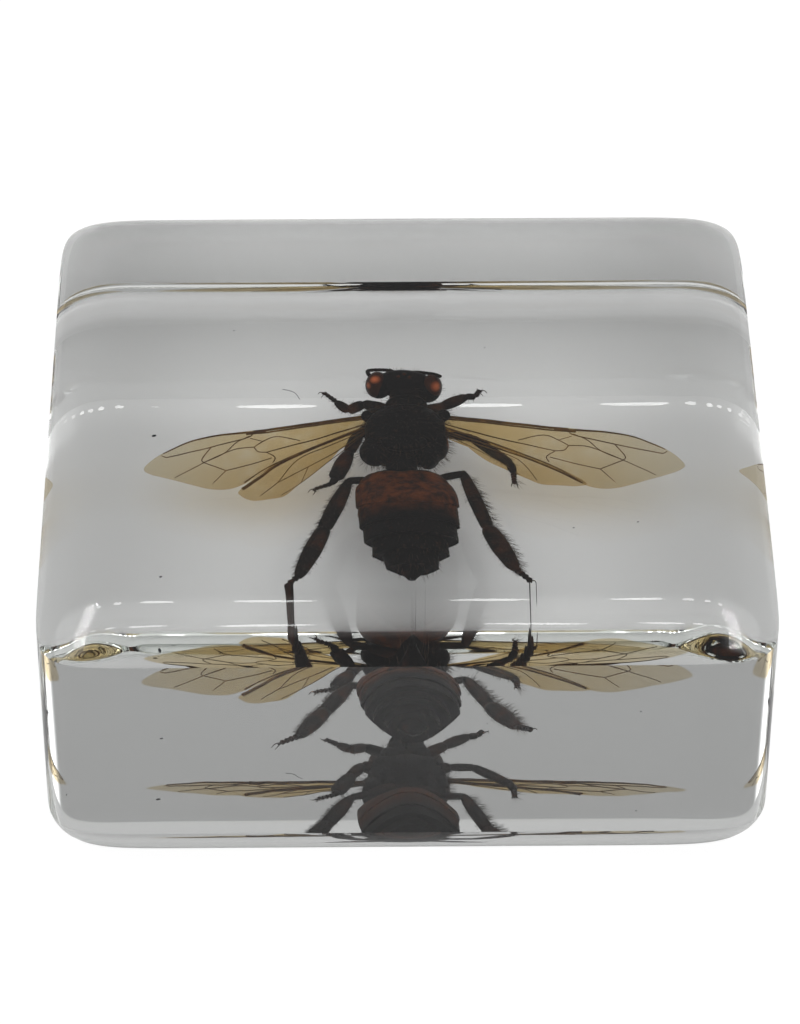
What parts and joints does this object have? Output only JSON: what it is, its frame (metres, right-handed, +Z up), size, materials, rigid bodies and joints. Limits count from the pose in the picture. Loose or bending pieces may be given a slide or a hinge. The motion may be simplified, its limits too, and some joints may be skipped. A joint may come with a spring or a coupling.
{
  "type": "insect in resin block",
  "caption": "Honey bee with spread wings sealed in a small clear resin block with rounded edges, standing on its flat underside.",
  "frame": {"origin": "centre of the flat underside, at the level that the block stands on", "axes": "+Z up out of the flat top, +Y towards the bee's head, +X to the bee's right"},
  "size_m": [0.04, 0.0382, 0.0175],
  "materials": {
    "clear_resin": "polished clear casting resin",
    "bee_chitin": "dark brown chitin with amber bands, fine hair and smoky membranous wings"
  },
  "bodies": {
    "root": {"resin_lower": "clear_resin", "resin_upper": "clear_resin", "bee": "bee_chitin"}
  },
  "joints": []
}
